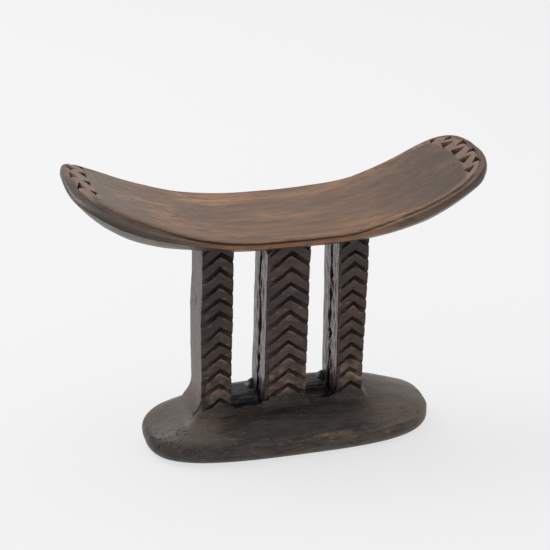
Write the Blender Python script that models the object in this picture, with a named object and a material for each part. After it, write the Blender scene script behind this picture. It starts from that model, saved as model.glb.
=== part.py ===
"""Carved wooden neck rest: a saddle-shaped pillow on three square posts that stand on an oval, domed base.

The carving is one block of wood. Its five members are separate objects here, parted by a fine gap where
they meet. Metres, +Z up, +X along the pillow, -Y the front. The origin is on the floor under the pillow's
middle.
"""
import math

import bmesh
import bpy
from mathutils import Matrix

OBJECT_NAME = "headrest"

# Driving dimensions, in metres unless the name says otherwise.
MEMBER_GAP = 0.0003          # parting gap where two members of the carving meet

PILLOW_LENGTH = 0.1854
PILLOW_WIDTH = 0.0653
SADDLE_HEIGHT = 0.1073       # floor to the top surface at mid-length
TIP_RISE = 0.0247            # how far the two tips stand above the middle of the saddle
SADDLE_TURN = 0.63           # share of the half-length where the top turns from flat to rising
SADDLE_POWER = 3.3           # how sharply it turns
PILLOW_THICKNESS = 0.0112    # at the middle of the saddle
TIP_THICKNESS = 0.0056
UNDERSIDE_POWER = 4.6        # how late the underside rises towards the tips
RIM_HEIGHT = 0.0038          # upright edge band between the top and the underside
PILLOW_END_POWER = 12.0      # bluntness of the ends in plan
PILLOW_SIDE_POWER = 2.52     # roundness of the corners in plan

BASE_LENGTH = 0.1336
BASE_WIDTH = 0.0587
BASE_OFFSET = 0.0048         # the base sits a little off the pillow's middle
BASE_RIM_HEIGHT = 0.0096
BASE_CROWN_HEIGHT = 0.0222   # floor to the top of the dome
BASE_EDGE_ROUNDING = 0.0060  # rounding between the underside and the upright edge
BASE_PLAN_POWER = 2.86       # 2 is an ellipse, larger is squarer
BASE_DOME_POWER = 2.6        # larger keeps the crown flatter and the shoulder steeper

POST_DEPTH = 0.0232          # front to back, all three posts

CHEVRON_DEPTH = 0.0017       # how far each ledge is cut into the face
CHEVRON_SLOPE = 0.72         # fall of each arm per metre sideways
CHEVRON_TILT = 17.0          # degrees that the long side of a cut leans from the face
BLADE_OVERCUT = 1.1          # the cutting shapes stand this much taller than the ledges are deep
CHEVRON_CLEAR_TOP = 0.0040   # plain wood between the topmost apex and the pillow
CHEVRON_CLEAR_FOOT = 0.0050  # plain wood between the lowest apex and the base

TOOTH_RADIUS = 0.0036        # centre to corner of one triangular pit in the end borders
TOOTH_FLOOR_RADIUS = 0.0019  # the same at the floor of the pit
TOOTH_DEPTH = 0.0011
TOOTH_PITCH = 0.0112         # from one pit to the next along a row

# The two rows of pits at each tip: their number, how far the row's middle lies in from the tip, how far
# its ends curve back at the pillow's sides, and whether the pits point out to the tip (1) or in (-1).
BORDER_ROWS = {
    "outer": dict(teeth=4, inset=0.0044, bow=0.0080, points=-1),
    "inner": dict(teeth=5, inset=0.0088, bow=0.0044, points=1),
}

# Mesh fineness.
PILLOW_SEGMENTS = 32
PILLOW_STATIONS = 40
BASE_SEGMENTS = 56
BASE_ARC_STEPS = 4
BASE_DOME_STEPS = 9
POST_END_CUTS = 4            # lets a post's head and foot follow the curved surfaces they meet
SHARP_EDGE = math.radians(35)

# Each post leans and tapers a little: its middle and its width at the foot and at the head, the number of
# chevrons, their apex line's shift off the post's middle, and the plain margin kept at the left edge (0
# where the cuts run out at the edge).
POSTS = {
    "left_post": dict(
        foot_x=-0.0302, foot_width=0.0128, head_x=-0.0286, head_width=0.0139, rows=12, apex=0.0010, margin=0.0,
    ),
    "middle_post": dict(
        foot_x=0.0010, foot_width=0.0195, head_x=0.0032, head_width=0.0195, rows=11, apex=0.0012, margin=0.0012,
    ),
    "right_post": dict(
        foot_x=0.0315, foot_width=0.0121, head_x=0.0329, head_width=0.0139, rows=12, apex=0.0003, margin=0.0014,
    ),
}

WOOD_FINISH = {
    "pillow": dict(colour=(0.150, 0.083, 0.048), roughness=0.42),
    "post": dict(colour=(0.058, 0.030, 0.021), roughness=0.40),
    "base": dict(colour=(0.070, 0.043, 0.030), roughness=0.45),
}


# ---------------------------------------------------------------- shape rules

def pillow_top(x):
    """Height of the pillow's top surface: flat in the middle, running out nearly straight to the tips."""
    share = abs(x) / (PILLOW_LENGTH / 2)
    full_turn = (1 + SADDLE_TURN ** -SADDLE_POWER) ** (1 / SADDLE_POWER) - 1
    turn = (1 + (share / SADDLE_TURN) ** SADDLE_POWER) ** (1 / SADDLE_POWER) - 1
    return SADDLE_HEIGHT + TIP_RISE * turn / full_turn


def pillow_half_width(x):
    """Half-width of the pillow in plan: long straight sides and blunt, rounded ends."""
    share = min(abs(x) / (PILLOW_LENGTH / 2), 1.0)
    return PILLOW_WIDTH / 2 * (1 - share ** PILLOW_END_POWER) ** (1 / PILLOW_SIDE_POWER)


def pillow_keel(x):
    """Height of the underside along the middle line of the pillow."""
    share = abs(x) / (PILLOW_LENGTH / 2)
    low = SADDLE_HEIGHT - PILLOW_THICKNESS
    high = SADDLE_HEIGHT + TIP_RISE - TIP_THICKNESS
    return low + (high - low) * share ** UNDERSIDE_POWER


def pillow_underside(x, y):
    """Height of the underside: a shallow keel that rises to the lower line of the rim at both sides."""
    rim = pillow_top(x) - RIM_HEIGHT
    keel = min(pillow_keel(x), rim)
    across = min(abs(y) / max(pillow_half_width(x), MEMBER_GAP), 1.0)
    return keel + (rim - keel) * across ** 2


def base_plan_point(angle, half_length, half_width):
    """Point on a squared oval of the given half-axes."""
    power = 2 / BASE_PLAN_POWER
    across, along = math.cos(angle), math.sin(angle)
    x = math.copysign(abs(across) ** power, across) * half_length
    y = math.copysign(abs(along) ** power, along) * half_width
    return BASE_OFFSET + x, y


def base_dome(share):
    """Height of the base's top at a share of the way from its centre (0) to its rim (1)."""
    return BASE_RIM_HEIGHT + (BASE_CROWN_HEIGHT - BASE_RIM_HEIGHT) * (1 - share ** BASE_DOME_POWER)


def base_top(x, y):
    """Height of the base's top surface under a point."""
    along = abs(x - BASE_OFFSET) / (BASE_LENGTH / 2)
    across = abs(y) / (BASE_WIDTH / 2)
    share = (along ** BASE_PLAN_POWER + across ** BASE_PLAN_POWER) ** (1 / BASE_PLAN_POWER)
    return base_dome(min(share, 1.0))


# ---------------------------------------------------------------- helpers

def clear_scene():
    for obj in list(bpy.data.objects):
        bpy.data.objects.remove(obj, do_unlink=True)


def new_collection(name):
    collection = bpy.data.collections.new(name)
    bpy.context.scene.collection.children.link(collection)
    return collection


def wood_material(name, colour, roughness):
    material = bpy.data.materials.new(name)
    material.use_nodes = True
    shader = material.node_tree.nodes["Principled BSDF"]
    shader.inputs["Base Color"].default_value = (*colour, 1.0)
    shader.inputs["Roughness"].default_value = roughness
    shader.inputs["Metallic"].default_value = 0.0
    material.diffuse_color = (*colour, 1.0)
    return material


def object_from_bmesh(bm, name, collection, material=None):
    bmesh.ops.recalc_face_normals(bm, faces=bm.faces)
    mesh = bpy.data.meshes.new(name)
    bm.to_mesh(mesh)
    bm.free()
    obj = bpy.data.objects.new(name, mesh)
    collection.objects.link(obj)
    if material:
        mesh.materials.append(material)
    return obj


def shade(obj):
    obj.data.shade_smooth()
    obj.data.set_sharp_from_angle(angle=SHARP_EDGE)


def cut(obj, cutter):
    """Cut one object with another, which stays in the file as a hidden wire guide."""
    cutter.hide_render = True
    cutter.display_type = "WIRE"
    modifier = obj.modifiers.new(f"cut_{cutter.name}", "BOOLEAN")
    modifier.operation = "DIFFERENCE"
    modifier.solver = "EXACT"
    modifier.use_self = True
    modifier.object = cutter


# ---------------------------------------------------------------- pillow

def build_pillow(parts, material):
    """A ball drawn out along X: its upper half becomes the top, its lower half the rim and the underside."""
    bm = bmesh.new()
    bmesh.ops.create_uvsphere(bm, u_segments=PILLOW_SEGMENTS, v_segments=PILLOW_STATIONS, radius=1.0)
    bmesh.ops.rotate(bm, verts=bm.verts, matrix=Matrix.Rotation(math.pi / 2, 3, "Y"))
    side_angle = 2 * math.pi / PILLOW_SEGMENTS
    for vert in bm.verts:
        x = vert.co.x * PILLOW_LENGTH / 2
        half_width = pillow_half_width(x)
        top = pillow_top(x)
        is_pole = abs(vert.co.x) > math.cos(math.pi / PILLOW_STATIONS / 2)
        if is_pole:
            vert.co = (x, 0.0, top - TIP_THICKNESS / 2)
            continue
        angle = math.atan2(vert.co.z, vert.co.y)
        if angle > -side_angle / 2 or angle < -math.pi + side_angle / 2:
            y = half_width * math.cos(angle)
            z = top
        else:
            around = (-angle - side_angle) / (math.pi - 2 * side_angle) * math.pi
            y = half_width * math.cos(around)
            z = pillow_underside(x, y)
        vert.co = (x, y, z)
    pillow = object_from_bmesh(bm, "pillow", parts, material)
    shade(pillow)
    return pillow


def border_row(bm, side, teeth, inset, bow, points):
    """A bowed row of three-sided pits near one tip."""
    for index in range(teeth):
        y = (index - (teeth - 1) / 2) * TOOTH_PITCH
        x = side * (PILLOW_LENGTH / 2 - inset - bow * (2 * y / PILLOW_WIDTH) ** 2)
        slope = (pillow_top(x + TOOTH_DEPTH) - pillow_top(x - TOOTH_DEPTH)) / (2 * TOOTH_DEPTH)
        corner_turn = -math.pi / 2 if side * points > 0 else math.pi / 2
        place = (
            Matrix.Translation((x, y, pillow_top(x)))
            @ Matrix.Rotation(-math.atan(slope), 4, "Y")
            @ Matrix.Rotation(corner_turn, 4, "Z")
        )
        bmesh.ops.create_cone(
            bm, cap_ends=True, segments=3, radius1=TOOTH_FLOOR_RADIUS,
            radius2=2 * TOOTH_RADIUS - TOOTH_FLOOR_RADIUS, depth=2 * TOOTH_DEPTH, matrix=place,
        )


def carve_borders(pillow, cutters):
    """Two rows of triangular pits at each tip leave a raised zigzag between them."""
    bm = bmesh.new()
    for side in (-1, 1):
        for row in BORDER_ROWS.values():
            border_row(bm, side, **row)
    cut(pillow, object_from_bmesh(bm, "border_pits", cutters))


# ---------------------------------------------------------------- base

def base_profile():
    """Rings of the base from its underside to its crown, each as (inset from the edge, share, height)."""
    rings = []
    for step in range(BASE_ARC_STEPS + 1):
        angle = math.pi / 2 * step / BASE_ARC_STEPS
        inset = BASE_EDGE_ROUNDING * (1 - math.sin(angle))
        rings.append((inset, 1.0, BASE_EDGE_ROUNDING * (1 - math.cos(angle))))
    for step in range(BASE_DOME_STEPS):
        share = 1 - step / BASE_DOME_STEPS
        rings.append((0.0, share, base_dome(share)))
    return rings


def build_base(parts, material):
    """A ball flattened into a squared oval: flat underside, rounded lower edge, upright rim and a dome."""
    rings = base_profile()
    bm = bmesh.new()
    bmesh.ops.create_uvsphere(bm, u_segments=BASE_SEGMENTS, v_segments=len(rings) + 1, radius=1.0)
    for vert in bm.verts:
        level = round(math.acos(max(-1.0, min(1.0, -vert.co.z))) / math.pi * (len(rings) + 1))
        if level == 0:
            vert.co = (BASE_OFFSET, 0.0, 0.0)
            continue
        if level > len(rings):
            vert.co = (BASE_OFFSET, 0.0, base_dome(0.0))
            continue
        inset, share, height = rings[level - 1]
        angle = math.atan2(vert.co.y, vert.co.x)
        half_length = (BASE_LENGTH / 2 - inset) * share
        half_width = (BASE_WIDTH / 2 - inset) * share
        x, y = base_plan_point(angle, half_length, half_width)
        vert.co = (x, y, height)
    base = object_from_bmesh(bm, "base", parts, material)
    shade(base)
    return base


# ---------------------------------------------------------------- posts

def build_post(name, spec, parts, material):
    """A square post whose head follows the pillow's underside and whose foot follows the base's dome."""
    bm = bmesh.new()
    bmesh.ops.create_cube(bm, size=1.0)
    level_edges = [edge for edge in bm.edges if abs(edge.verts[0].co.z - edge.verts[1].co.z) < 0.5]
    bmesh.ops.subdivide_edges(bm, edges=level_edges, cuts=POST_END_CUTS, use_grid_fill=True)
    for vert in bm.verts:
        is_head = vert.co.z > 0
        end = "head" if is_head else "foot"
        x = spec[f"{end}_x"] + vert.co.x * spec[f"{end}_width"]
        y = vert.co.y * POST_DEPTH
        z = pillow_underside(x, y) - MEMBER_GAP if is_head else base_top(x, y) + MEMBER_GAP
        vert.co = (x, y, z)
    return object_from_bmesh(bm, name, parts, material)


def chevron_blade(bm, apex_x, left, right, face, height):
    """One ledge cutter: a square bar leaning into the face, bent down on both sides of its apex."""
    tilt = math.radians(CHEVRON_TILT)
    thickness = 2 * CHEVRON_DEPTH
    reach = BLADE_OVERCUT * CHEVRON_DEPTH / math.sin(tilt)
    made = bmesh.ops.create_cube(bm, size=1.0)["verts"]
    bmesh.ops.scale(bm, vec=(right - left, thickness, reach), verts=made)
    corner_shift = ((left + right) / 2 - apex_x, face * thickness / 2, -reach / 2)
    bmesh.ops.translate(bm, vec=corner_shift, verts=made)
    bmesh.ops.rotate(bm, verts=made, matrix=Matrix.Rotation(face * tilt, 3, "X"))
    edges = list({edge for vert in made for edge in vert.link_edges})
    sides = list({side for vert in made for side in vert.link_faces})
    split = bmesh.ops.bisect_plane(bm, geom=made + edges + sides, plane_co=(0, 0, 0), plane_no=(1, 0, 0))
    ring = [item for item in split["geom_cut"] if isinstance(item, bmesh.types.BMVert)]
    for vert in set(made + ring):
        vert.co.z += height - CHEVRON_SLOPE * abs(vert.co.x)
        vert.co.x += apex_x
        vert.co.y += face * (POST_DEPTH / 2 - CHEVRON_DEPTH)


def carve_chevrons(post, spec, cutters):
    """Rows of shingle-like ledges in inverted Vs, on the front and on the back of a post."""
    run_out = CHEVRON_DEPTH
    top = pillow_underside(spec["head_x"], POST_DEPTH / 2) - CHEVRON_CLEAR_TOP
    bottom = base_top(spec["foot_x"], POST_DEPTH / 2) + CHEVRON_CLEAR_FOOT
    bm = bmesh.new()
    for row in range(spec["rows"]):
        down = row / (spec["rows"] - 1)
        height = top + (bottom - top) * down
        centre = spec["head_x"] + (spec["foot_x"] - spec["head_x"]) * down
        half_width = (spec["head_width"] + (spec["foot_width"] - spec["head_width"]) * down) / 2
        left = centre - half_width + (spec["margin"] or -run_out)
        right = centre + half_width + run_out
        for face in (-1, 1):
            chevron_blade(bm, centre + spec["apex"], left, right, face, height)
    cut(post, object_from_bmesh(bm, f"{post.name}_chevrons", cutters))


# ---------------------------------------------------------------- assembly

def main():
    clear_scene()
    parts = new_collection(OBJECT_NAME)
    cutters = new_collection("cutters")
    finishes = {name: wood_material(f"{name}_wood", **finish) for name, finish in WOOD_FINISH.items()}
    carve_borders(build_pillow(parts, finishes["pillow"]), cutters)
    build_base(parts, finishes["base"])
    for name, spec in POSTS.items():
        post = build_post(name, spec, parts, finishes["post"])
        carve_chevrons(post, spec, cutters)


main()
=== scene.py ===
"""Carved wooden neck rest: a saddle-shaped pillow with chip-carved tips, three posts cut with ledges in
inverted Vs, and a domed oval base. Dark stained, worn brown on the edges, satin from handling."""
import math

import bpy
import numpy as np
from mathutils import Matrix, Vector
from mathutils.kdtree import KDTree


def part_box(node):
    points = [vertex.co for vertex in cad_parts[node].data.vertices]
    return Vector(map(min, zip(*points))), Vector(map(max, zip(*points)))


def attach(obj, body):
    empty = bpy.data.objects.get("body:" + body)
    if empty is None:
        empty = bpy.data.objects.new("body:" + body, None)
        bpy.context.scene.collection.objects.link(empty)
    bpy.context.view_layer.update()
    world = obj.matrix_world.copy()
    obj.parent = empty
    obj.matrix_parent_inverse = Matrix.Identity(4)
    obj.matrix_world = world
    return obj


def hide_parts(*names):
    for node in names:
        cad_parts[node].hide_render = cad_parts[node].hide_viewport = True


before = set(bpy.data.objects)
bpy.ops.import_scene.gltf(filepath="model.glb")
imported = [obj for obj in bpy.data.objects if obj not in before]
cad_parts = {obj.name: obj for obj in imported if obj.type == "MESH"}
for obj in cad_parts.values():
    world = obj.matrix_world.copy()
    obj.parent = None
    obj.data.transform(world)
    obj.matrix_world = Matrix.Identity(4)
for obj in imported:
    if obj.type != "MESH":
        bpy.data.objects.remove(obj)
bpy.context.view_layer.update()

bl_info = {
    "name": "Carved neck rest",
    "version": (1, 0, 0),
    "blender": (4, 5, 0),
    "location": "3D View > Sidebar > Neck rest",
    "description": "Builds a carved wooden neck rest around its packed frame",
    "category": "Add Mesh",
}

MM = 0.001
PILLOW_LOW, PILLOW_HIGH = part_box("pillow")
PILLOW_THICKNESS = 0.0112
PILLOW_RISE = PILLOW_HIGH.z - PILLOW_LOW.z - PILLOW_THICKNESS
BASE_LOW, BASE_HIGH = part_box("base")
POST_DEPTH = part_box("middle_post")[1].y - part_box("middle_post")[0].y
BODY = "root"

# Each post's ledges: how many there are, the lowest apex above the floor, the pitch, the apex line's shift
# off the post's middle and the plain margin at the left edge; then how its two sides are hollowed, as the
# depth of the channel and how far it breaks up into separate hollows.
POST_PLANS = {
    "left_post": dict(
        ledges=12, lowest=26.9 * MM, pitch=6.95 * MM, apex=1.0 * MM, margin=0.0, left=(0.0, 0.0),
        right=(1.3 * MM, 0.3), check=(-0.5 * MM, 70.4 * MM), tone=0.9, warmth=0.45, seed=11,
    ),
    "middle_post": dict(
        ledges=12, lowest=23.4 * MM, pitch=7.05 * MM, apex=1.2 * MM, margin=1.3 * MM, left=(1.6 * MM, 0.25),
        right=(1.3 * MM, 0.3), tone=1.6, warmth=0.8, seed=23,
    ),
    "right_post": dict(
        ledges=13, lowest=27.9 * MM, pitch=6.43 * MM, apex=0.3 * MM, margin=1.5 * MM, left=(1.9 * MM, 0.75),
        right=(0.0, 0.0), tone=1.3, warmth=0.8, seed=37,
    ),
}


# ---------------------------------------------------------------- small helpers

def srgb(code):
    """Linear colour of an sRGB hex code."""
    parts = [int(code[at:at + 2], 16) / 255 for at in (1, 3, 5)]
    return tuple(p / 12.92 if p <= 0.04045 else ((p + 0.055) / 1.055) ** 2.4 for p in parts)


def ease(low, high, value):
    """0 up to low, 1 from high on, eased in between."""
    share = np.clip((value - low) / (high - low), 0.0, 1.0)
    return share * share * (3 - 2 * share)


def unevenness(points, size, seed, stretch=(1.0, 1.0, 1.0), waves=40):
    """Smooth hand-made unevenness, about -1 to 1, with humps about one size apart."""
    chance = np.random.default_rng(seed)
    ways = chance.normal(size=(waves, 3))
    ways /= np.linalg.norm(ways, axis=1, keepdims=True)
    lengths = size * chance.uniform(0.7, 1.7, waves)
    starts = chance.uniform(0, 2 * math.pi, waves)
    flat = points.reshape(-1, 3) / np.array(stretch)
    total = np.cos(flat @ (ways * (2 * math.pi / lengths)[:, None]).T + starts).sum(axis=1)
    return (total / math.sqrt(waves)).reshape(points.shape[:-1])


def hump(value, middle, width):
    """1 at the middle, falling away on both sides over about one width."""
    return np.exp(-((value - middle) / width) ** 2)


def inward_from(outline, centre):
    """Direction from each point of an outline to its point on the middle line."""
    inward = centre - outline
    return inward / np.linalg.norm(inward, axis=1)[:, None]


def stack_rings(*stretches):
    """Rings of points from stretches, each given as its places in plan and its heights."""
    return np.concatenate([np.dstack([plan, height]) for plan, height in stretches])


def tool_facets(points, spacing, seed, stretch=(1.0, 1.0)):
    """Shallow scallops left by a gouge or an adze: 0 in the middle of a cut, 1 on the ridges between cuts."""
    flat = points[..., :2].reshape(-1, 2) / np.array(stretch)
    low, high = flat.min(axis=0) - spacing, flat.max(axis=0) + spacing
    chance = np.random.default_rng(seed)
    count = [int(math.ceil(n)) for n in (high - low) / spacing]
    grid = np.stack(np.meshgrid(np.arange(count[0]), np.arange(count[1]), indexing="ij"), -1).reshape(-1, 2)
    centres = low + (grid + chance.uniform(0.0, 1.0, grid.shape)) * spacing
    tree = KDTree(len(centres))
    for index, (x, y) in enumerate(centres):
        tree.insert((x, y, 0.0), index)
    tree.balance()
    away = np.array([tree.find((x, y, 0.0))[2] for x, y in flat])
    return np.clip((away / (0.7 * spacing)) ** 2, 0, 1.5).reshape(points.shape[:-1])


def closed_outline(half_length, half_width, end_power, side_power, count):
    """Evenly spaced points round a squared oval, counter-clockwise from its +X end."""
    angle = np.linspace(0, 2 * math.pi, 40001)
    across, along = np.cos(angle), np.sin(angle)
    x = half_length * np.sign(across) * np.abs(across) ** (2 / end_power)
    y = half_width * np.sign(along) * np.abs(along) ** (2 / side_power)
    run = np.concatenate([[0], np.cumsum(np.hypot(np.diff(x), np.diff(y)))])
    stops = np.linspace(0, run[-1], count, endpoint=False)
    return np.stack([np.interp(stops, run, x), np.interp(stops, run, y)], axis=1)


def skin_rings(name, rings, marks, folded):
    """Closed skin over rings of points, from the topmost down, each counter-clockwise from above.

    Folded rings shut along a middle line; otherwise each end is shut by a fan. Marks are named shares
    kept on the points for the finish."""
    count, columns = rings.shape[:2]
    points = rings.reshape(-1, 3)
    index = np.arange(count * columns).reshape(count, columns)
    if folded:
        around = np.arange(columns)
        twin = np.minimum(around, (columns - around) % columns)
        index[0] = index[0][twin]
        index[-1] = index[-1][twin]
    onward = np.roll(index, -1, axis=1)
    quads = np.stack([index[:-1], index[1:], onward[1:], onward[:-1]], axis=-1).reshape(-1, 4)
    used, renumbered = np.unique(quads, return_inverse=True)
    points = points[used]
    faces = renumbered.reshape(-1, 4).tolist()
    shares = {key: np.broadcast_to(value, (count, columns)).reshape(-1)[used] for key, value in marks.items()}
    if not folded:
        ends = rings[[0, -1]].mean(axis=1)
        top, bottom = len(points), len(points) + 1
        points = np.vstack([points, ends])
        first, last = np.arange(columns), np.arange(columns) + (count - 1) * columns
        faces += [[top, a, b] for a, b in zip(first.tolist(), np.roll(first, -1).tolist())]
        faces += [[bottom, b, a] for a, b in zip(last.tolist(), np.roll(last, -1).tolist())]
        shares = {key: np.append(value, [0.0, 0.0]) for key, value in shares.items()}
    mesh = bpy.data.meshes.new(name)
    mesh.from_pydata(points.tolist(), [], faces)
    for key, value in shares.items():
        mesh.attributes.new(key, "FLOAT", "POINT").data.foreach_set("value", value.astype(np.float32))
    obj = bpy.data.objects.new(name, mesh)
    bpy.context.scene.collection.objects.link(obj)
    return obj


def finish_piece(obj, node):
    """Shade a finished piece and hand it to the frame in place of its plain member."""
    obj.data.shade_smooth()
    obj.data.set_sharp_from_angle(angle=math.radians(48))
    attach(obj, BODY)
    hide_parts(node)


# ---------------------------------------------------------------- node helpers

# Settings of the nodes that work with numbers.
TIMES = {"operation": "MULTIPLY"}
PLUS = {"operation": "ADD"}
MINUS = {"operation": "SUBTRACT"}
OVER = {"operation": "DIVIDE"}
TIMES_PLUS = {"operation": "MULTIPLY_ADD"}
POINT_SHARE = {"data_type": "FLOAT", "domain": "POINT"}


def add_node(tree, kind, settings=None, inputs=None):
    """One node with its settings; each input is a value or another node's output."""
    node = tree.nodes.new(kind)
    for name, value in (settings or {}).items():
        setattr(node, name, value)
    for key, value in (inputs or {}).items():
        if isinstance(value, bpy.types.NodeSocket):
            tree.links.new(value, node.inputs[key])
        else:
            node.inputs[key].default_value = value
    return node


def new_tree(name, sizes):
    """A Geometry Nodes tree that takes a mesh and one named input for each size."""
    tree = bpy.data.node_groups.new(name, "GeometryNodeTree")
    tree.interface.new_socket("Geometry", in_out="INPUT", socket_type="NodeSocketGeometry")
    for label, kind in sizes.items():
        tree.interface.new_socket(label, in_out="INPUT", socket_type=f"NodeSocket{kind}")
    tree.interface.new_socket("Geometry", in_out="OUTPUT", socket_type="NodeSocketGeometry")
    return tree, tree.nodes.new("NodeGroupInput").outputs


def close_tree(tree, geometry, wood):
    """Realize what the tree made, give it its material and send it out."""
    real = add_node(tree, "GeometryNodeRealizeInstances", inputs={"Geometry": geometry}).outputs[0]
    dressed = add_node(tree, "GeometryNodeSetMaterial", inputs={"Geometry": real, "Material": wood})
    add_node(tree, "NodeGroupOutput", inputs={0: dressed.outputs[0]})


def run_tree(obj, tree, values):
    """Run a tree on an object and keep the result as the object's own plain mesh."""
    modifier = obj.modifiers.new(tree.name, "NODES")
    modifier.node_group = tree
    for item in tree.interface.items_tree:
        if item.item_type == "SOCKET" and item.in_out == "INPUT" and item.name in values:
            modifier[item.identifier] = values[item.name]
    graph = bpy.context.evaluated_depsgraph_get()
    made = obj.evaluated_get(graph)
    mesh = bpy.data.meshes.new_from_object(made, preserve_all_data_layers=True, depsgraph=graph)
    obj.modifiers.remove(modifier)
    obj.data = mesh
    return obj


# ---------------------------------------------------------------- wood

def carved_wood(name, look, streak, gloss):
    """Dense carved hardwood, stained nearly black and rubbed back by handling to a waxed satin.

    To the eye: fine streaks along the grain with short dark pores, slow changes from dark to warm brown,
    orange-brown where edges are rubbed through, black painted shade in the hollows and under the parts,
    a painted mauve-grey sheen on some faces.
    """
    material = bpy.data.materials.new(name)
    material.use_nodes = True
    tree = material.node_tree
    tree.nodes.clear()
    place = add_node(tree, "ShaderNodeTexCoord").outputs["Object"]
    mark = {}
    for key in ("worn", "stain_and_shade", "painted_sheen", "polish", "border"):
        mark[key] = add_node(tree, "ShaderNodeAttribute", {"attribute_name": key}).outputs["Fac"]

    # cloudy patterns: the size of a patch, how far it is drawn out along the grain, detail, roughness, swirl
    patterns = {
        "patches": (26 * MM, 2.2, 3.0, 0.5, 0.0),
        "bands": (3.6 * MM, look["drawn"], 3.0, 0.6, 0.35),
        "fibres": (0.9 * MM, look["drawn"], 3.0, 0.6, 0.0),
        "flecks": (1.5 * MM, 2.6, 2.0, 0.6, 0.0),
        "pores": (0.75 * MM, 7.0, 1.0, 0.5, 0.0),
        "mottle": (2.4 * MM, 2.0, 4.0, 0.65, 0.0),
    }
    cloud = {}
    for key, (patch, drawn, detail, roughness, swirl) in patterns.items():
        along = add_node(tree, "ShaderNodeMapping", inputs={"Vector": place, "Scale": (1 / drawn, 1.0, 1.0)})
        cloud[key] = add_node(tree, "ShaderNodeTexNoise", inputs={
            "Vector": along.outputs[0], "Scale": 1 / patch, "Detail": detail, "Roughness": roughness,
            "Distortion": swirl,
        }).outputs["Fac"]
    fine = add_node(tree, "ShaderNodeMath", TIMES, {0: cloud["fibres"], 1: 0.4}).outputs[0]
    cloud["streaks"] = add_node(tree, "ShaderNodeMath", TIMES_PLUS, {
        0: cloud["bands"], 1: 0.6, 2: fine,
    }).outputs[0]

    # shares: the pattern they follow, where it starts and ends to count, and the share at its start and end
    ramps = {
        "light": ("streaks", 0.5 - streak, 0.5 + streak, 0.0, 1.0),
        "patched": ("patches", 0.42, 0.66, 0.0, 1.0),
        "warm": ("streaks", 0.40, 0.62, 0.0, 1.0),
        "sheen_share": ("mottle", 0.25, 0.60, 0.55, 0.95),
        "raised": ("mottle", 0.3, 0.6, 0.6, 1.0),
        "flecked": ("flecks", 0.60, 0.70, 0.0, 1.0),
        "rubbed": ("mottle", 0.36, 0.58, 0.1, 1.0),
        "pored": ("pores", 0.665, 0.73, 0.0, 1.0),
        "darkened": ("mottle", 0.3, 0.5, 0.88, 1.0),
        "rough": ("mottle", 0.3, 0.7, gloss - 0.05, gloss + 0.08),
    }
    share = {}
    for key, (pattern, low, high, start, end) in ramps.items():
        share[key] = add_node(tree, "ShaderNodeMapRange", {"interpolation_type": "SMOOTHSTEP"}, {
            "Value": cloud[pattern], "From Min": low, "From Max": high, "To Min": start, "To Max": end,
        }).outputs[0]

    # colours laid over the dark grain one after the other, each as far as its two shares allow
    layers = (
        ("mid", share["light"], 1.0),
        ("warm", share["patched"], share["warm"]),
        # painted sheen: the pale room mirrored in the satin surface, painted as mauve-grey
        ("film", mark["painted_sheen"], share["sheen_share"]),
        ("ribbon", mark["border"], share["raised"]),
        ("worn", share["flecked"], look["flecks"]),
        # rubbed colour, which on the posts' lips is partly a painted highlight
        ("worn", mark["worn"], share["rubbed"]),
        ("black", share["pored"], look["pores"]),
        # black for real darker staining in places, and painted shade in grooves, cuts, undersides and between
        # the parts
        ("black", mark["stain_and_shade"], share["darkened"]),
    )
    colour = look["dark"]
    for key, first, second in layers:
        if key in look:
            over = add_node(tree, "ShaderNodeMath", TIMES, {0: first, 1: second}).outputs[0]
            colour = add_node(tree, "ShaderNodeMix", {"data_type": "RGBA"}, {
                0: over, 6: colour, 7: look[key],
            }).outputs[2]

    rough = add_node(tree, "ShaderNodeMix", inputs={0: mark["polish"], 2: share["rough"], 3: 0.27}).outputs[0]
    raised = add_node(tree, "ShaderNodeMath", TIMES_PLUS, {
        0: cloud["mottle"], 1: 0.6, 2: cloud["fibres"],
    }).outputs[0]
    grain = add_node(tree, "ShaderNodeMath", MINUS, {0: raised, 1: share["pored"]})
    relief = add_node(tree, "ShaderNodeBump", inputs={
        "Strength": 0.55, "Distance": 0.16 * MM, "Height": grain.outputs[0],
    })
    shader = add_node(tree, "ShaderNodeBsdfPrincipled", inputs={
        "Base Color": colour, "Roughness": rough, "IOR": 1.5, "Specular IOR Level": look["specular"],
        "Normal": relief.outputs[0], "Diffuse Roughness": 0.2,
    })
    add_node(tree, "ShaderNodeOutputMaterial", inputs={"Surface": shader.outputs[0]})
    return material


def palette(finish, member):
    """Linear colours of one member's wood from the finish settings."""
    look = {"black": (*finish.black, 1.0)}
    for key in ("dark", "mid", "warm", "worn", "film"):
        look[key] = (*getattr(finish, f"{member}_{key}"), 1.0)
    return look


# ---------------------------------------------------------------- pillow

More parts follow.
